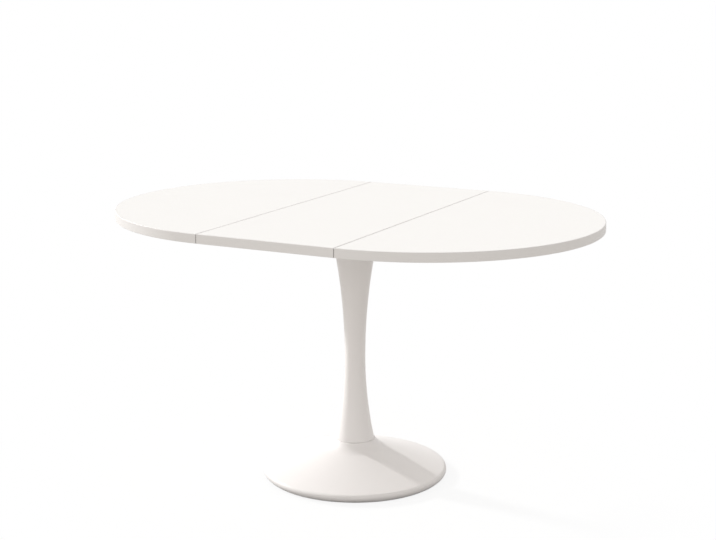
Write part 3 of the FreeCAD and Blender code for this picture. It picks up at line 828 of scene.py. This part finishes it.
@dataclass
class SubAssembly:
    """Nodes of one body that keep their shape, and fasteners modelled in place of others."""

    body: str
    nodes: tuple[str, ...]

    def dress(self, palette: Palette) -> None:
        """Give each kept node its finish.

        Args:
            palette: the finishes.
        """
        for node in self.nodes:
            palette.paint(frame["nodes"][node], node)
            LOG.info("%s takes %s", node, palette.slots[node])

    def build(self, palette: Palette) -> None:
        """Model the fasteners; a sub-assembly without any has nothing to model."""

    def fasten(self, node: str, kind: PanScrew | HexBolt | HexNut, drive: Drive, palette: Palette) -> None:
        """Model a node's fasteners where its solids are.

        Args:
            node: the node that the fasteners stand for.
            kind: the fastener.
            drive: which way it is driven.
            palette: the finishes.
        """
        found = islands(node)
        first = found[0]
        rings = kind.rings(first.radius, first.high.z - first.low.z)
        seats = []
        for island in found:
            seen_end = island.low.z if drive is Drive.UP else island.high.z
            seats.append(((*island.axis, seen_end), drive))
        points, faces = rings.placed(seats, closed=isinstance(kind, HexNut))
        mesh = bpy.data.meshes.new(node)
        mesh.from_pydata(points, [], faces)
        mesh.polygons.foreach_set("use_smooth", [True] * len(mesh.polygons))
        mesh.set_sharp_from_angle(angle=SHARP_ANGLE)
        piece = linked("modelled_" + node, mesh)
        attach(piece, self.body)
        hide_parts(node)
        palette.paint(piece, node)
        LOG.info("%s stands for %s, %d pieces", piece.name, node, len(found))


@dataclass
class TopHalf(SubAssembly):
    """Half of the top with its edgings, rails, tongues, rack and their screws."""

    side: Side
    wood_screw: PanScrew = PanScrew()

    @classmethod
    def on(cls, side: Side) -> "TopHalf":
        """Name the nodes of a half.

        Args:
            side: the side that the half is on.

        Returns:
            The half.
        """
        names = ("panel", "edging", "seam_edging", "rear_rail", "front_rail", "leaf_tongues", "rack",
                 "rack_block")
        return cls(side.value + "_top", tuple(f"{side.value}_{name}" for name in names), side)

    def build(self, palette: Palette) -> None:
        """Model the half's screws, driven up from below."""
        for name in ("rail_screws", "tongue_screws", "rack_screws"):
            self.fasten(f"{self.side.value}_{name}", self.wood_screw, Drive.UP, palette)


@dataclass
class Leaf(SubAssembly):
    """Loose leaf with its edgings and locating pins."""

    body: str = "leaf"
    nodes: tuple[str, ...] = ("leaf_panel", "leaf_end_edgings", "leaf_seam_edgings", "leaf_locating_pins")


@dataclass
class SlideFrame(SubAssembly):
    """Mounting plate, bearers and runners, with their bolts."""

    body: str = "pedestal"
    nodes: tuple[str, ...] = ("mounting_plate", "left_bearer", "right_bearer", "bearer_caps",
                              "front_runner", "rear_runner", "runner_bushes", "leaf_rest_pads")
    frame_bolt: HexBolt = HexBolt()

    def build(self, palette: Palette) -> None:
        """Model the bolts, driven up from below."""
        for name in ("bearer_bolts", "runner_bolts"):
            self.fasten(name, self.frame_bolt, Drive.UP, palette)


@dataclass
class EqualiserBridge(SubAssembly):
    """Bridge, pinion pin and rack keepers, with their screws."""

    body: str = "pedestal"
    nodes: tuple[str, ...] = ("gear_bridge", "pinion_pin", "thrust_washer", "retaining_ring",
                              "front_rack_keeper", "rear_rack_keeper")
    plate_screw: PanScrew = PanScrew()

    def build(self, palette: Palette) -> None:
        """Model the screws, driven down from above."""
        for name in ("bridge_screws", "keeper_screws"):
            self.fasten(name, self.plate_screw, Drive.DOWN, palette)


@dataclass
class Pinion(SubAssembly):
    """Pinion that turns on the bridge's pin and couples the racks."""

    body: str = "pinion"
    nodes: tuple[str, ...] = ("pinion",)


@dataclass
class Pedestal(SubAssembly):
    """Column, base and ballast, with the tie rod that clamps them."""

    body: str = "pedestal"
    nodes: tuple[str, ...] = ("column", "column_joint_ring", "base_shell", "ballast", "bottom_plate",
                              "glides", "tie_rod", "tie_rod_washers")
    bottom_screw: PanScrew = PanScrew(head_height=0.002, recess_depth=0.0012)
    rod_nut: HexNut = HexNut()

    def build(self, palette: Palette) -> None:
        """Model the nuts and the bottom plate's screws."""
        self.fasten("bottom_screws", self.bottom_screw, Drive.UP, palette)
        self.fasten("tie_rod_nuts", self.rod_nut, Drive.UP, palette)


@dataclass
class Viewpoint:
    """Camera of the photograph: place in metres, lens and principal point in the photograph's pixels."""

    aim_height: float = 0.790
    distance: float = 4.035
    azimuth: float = math.radians(27.235)
    elevation: float = math.radians(9.35)
    focal_px: float = 1449.3
    centre_px: tuple[float, float] = (355.0, 200.0)
    sensor: float = 36.0

    def build(self) -> None:
        """Make the camera and hand it to the scene."""
        data = bpy.data.cameras.new("photo_camera")
        data.sensor_width = self.sensor
        data.lens = self.focal_px * self.sensor / PHOTO_WIDTH
        data.shift_x = (PHOTO_WIDTH / 2 - self.centre_px[0]) / PHOTO_WIDTH
        data.shift_y = (self.centre_px[1] - PHOTO_HEIGHT / 2) / PHOTO_WIDTH
        back = Vector((math.sin(self.azimuth) * math.cos(self.elevation),
                       -math.cos(self.azimuth) * math.cos(self.elevation), math.sin(self.elevation)))
        camera = linked("photo_camera", data)
        camera.location = Vector((0.0, 0.0, self.aim_height)) + back * self.distance
        camera.rotation_euler = (-back).to_track_quat("-Z", "Y").to_euler()
        bpy.context.scene.camera = camera


@dataclass
class Studio:
    """Pale floor, soft room light and one low key light from the left end of the table.

    Near the base the floor's colour for bounced light is darker than further out, a painted shade
    under the base, and the shadow that it shows fades outwards; both are set by distances in metres
    from the middle of the base. The room is brightest between horizon and zenith, and towards the
    left end of the table.
    """

    floor_reach: float = 30.0
    floor_pale: Colour = (0.95, 0.95, 0.95)
    floor_bounce: Colour = (0.63, 0.61, 0.58)
    # Painted shade: the floor's darker colour for bounced light near the base.
    floor_near_painted_shade: Colour = (0.18, 0.173, 0.166)
    near_start: float = 0.24
    near_end: float = 0.50
    floor_shadow: float = 0.12
    shadow_start: float = 0.30
    shadow_end: float = 1.10
    key_strength: float = 2.45
    key_angle: float = math.radians(5.0)
    key_from: Point = (-0.887, 0.117, 0.446)
    room_tint: Colour = (1.0, 0.975, 0.945)
    horizon_light: float = 0.62
    zenith_light: float = 0.33
    middle_lift: float = 0.50
    middle_peak: float = 0.25
    side_share: float = 0.22

    def build(self) -> None:
        """Make floor, key light and world."""
        self._floor()
        self._key()
        self._world()

    def _floor(self) -> None:
        """Lay the floor; the camera sees it near white, with the object's shadow kept."""
        reach = self.floor_reach
        corners = [(-reach, -reach, 0.0), (reach, -reach, 0.0), (reach, reach, 0.0), (-reach, reach, 0.0)]
        mesh = bpy.data.meshes.new("studio_floor")
        mesh.from_pydata(corners, [], [(0, 1, 2, 3)])
        linked("studio_floor", mesh)
        material = bpy.data.materials.new("studio_floor")
        mesh.materials.append(material)
        sheet = Sheet.blank(material)
        seen = self._seen(sheet)
        away = sheet.vectors("LENGTH", sheet.place()).outputs["Value"]
        outer = sheet.spread(away, 0.0, 1.0, self.near_start, self.near_end, Ease.SMOOTH)
        # Near the base the floor's bounced light is darkened with painted shade.
        bounce = sheet.mix(outer, opaque(self.floor_near_painted_shade), opaque(self.floor_bounce))
        tone = sheet.mix(seen, bounce, opaque(self.floor_pale))
        matt = sheet.feed(sheet.add("BsdfDiffuse"), Color=tone)
        white = sheet.feed(sheet.add("Emission"), Color=WHITE, Strength=1.0)
        fade = sheet.spread(away, 1.0 - self.floor_shadow, 1.0, self.shadow_start, self.shadow_end,
                            Ease.SMOOTH)
        self._blend(sheet, sheet.maths("MULTIPLY", seen, fade), matt, white, "OutputMaterial")

    def _key(self) -> None:
        """Place the key light."""
        data = bpy.data.lights.new("key_light", "SUN")
        data.energy = self.key_strength
        data.angle = self.key_angle
        light = linked("key_light", data)
        light.rotation_euler = Vector(self.key_from).to_track_quat("Z", "Y").to_euler()

    def _world(self) -> None:
        """Light the room; the camera sees plain white."""
        world = bpy.data.worlds.new("studio_room")
        bpy.context.scene.world = world
        sheet = Sheet.blank(world)
        facing = sheet.feed(sheet.add("SeparateXYZ"), Vector=sheet.add("TexCoord").outputs["Generated"])
        height = sheet.maths("MAXIMUM", facing.outputs["Z"], 0.0)
        level = sheet.spread(height, self.horizon_light, self.zenith_light)
        hump = sheet.maths("MULTIPLY", height, sheet.maths("SUBTRACT", 1.0, height))
        lift = sheet.maths("MULTIPLY", hump, self.middle_lift / self.middle_peak)
        tilt = sheet.maths("SUBTRACT", 1.0, sheet.maths("MULTIPLY", facing.outputs["X"], self.side_share))
        level = sheet.maths("MULTIPLY", sheet.maths("ADD", level, lift), tilt)
        room = sheet.feed(sheet.add("Background"), Color=opaque(self.room_tint), Strength=level)
        white = sheet.feed(sheet.add("Background"), Color=WHITE, Strength=1.0)
        self._blend(sheet, self._seen(sheet), room, white, "OutputWorld")

    @staticmethod
    def _seen(sheet: Sheet) -> bpy.types.NodeSocket:
        """Tell the rays that end in the picture from those that light other surfaces.

        Args:
            sheet: nodes of the floor or the world.

        Returns:
            1 for a ray from the camera, from a mirror or through glass, and 0 for any other.
        """
        path = sheet.add("LightPath")
        seen = sheet.maths("MAXIMUM", path.outputs["Is Camera Ray"], path.outputs["Is Glossy Ray"])
        return sheet.maths("MAXIMUM", seen, path.outputs["Is Transmission Ray"])

    @staticmethod
    def _blend(sheet: Sheet, share: bpy.types.NodeSocket, first: bpy.types.Node, second: bpy.types.Node,
               output: str) -> None:
        """Mix two shaders into a tree's output.

        Args:
            sheet: nodes of the floor or the world.
            share: how much of the second shader shows.
            first: the shader at share 0.
            second: the shader at share 1.
            output: Blender's type name of the output node.
        """
        blend = sheet.add("MixShader")
        for value, socket in zip((share, first.outputs[0], second.outputs[0]), blend.inputs):
            sheet.plug(value, socket)
        sheet.feed(sheet.add(output), Surface=blend.outputs[0])


def main() -> None:
    """Dress the table and set up its studio."""
    logging.basicConfig(level=logging.INFO)
    bpy.context.scene.view_settings.view_transform = "Standard"
    palette = Palette()
    palette.build(Effects())
    halves = [TopHalf.on(side) for side in Side]
    for assembly in (*halves, Leaf(), SlideFrame(), EqualiserBridge(), Pinion(), Pedestal()):
        assembly.build(palette)
        assembly.dress(palette)
    Viewpoint().build()
    Studio().build()


if __name__ == "__main__":
    main()
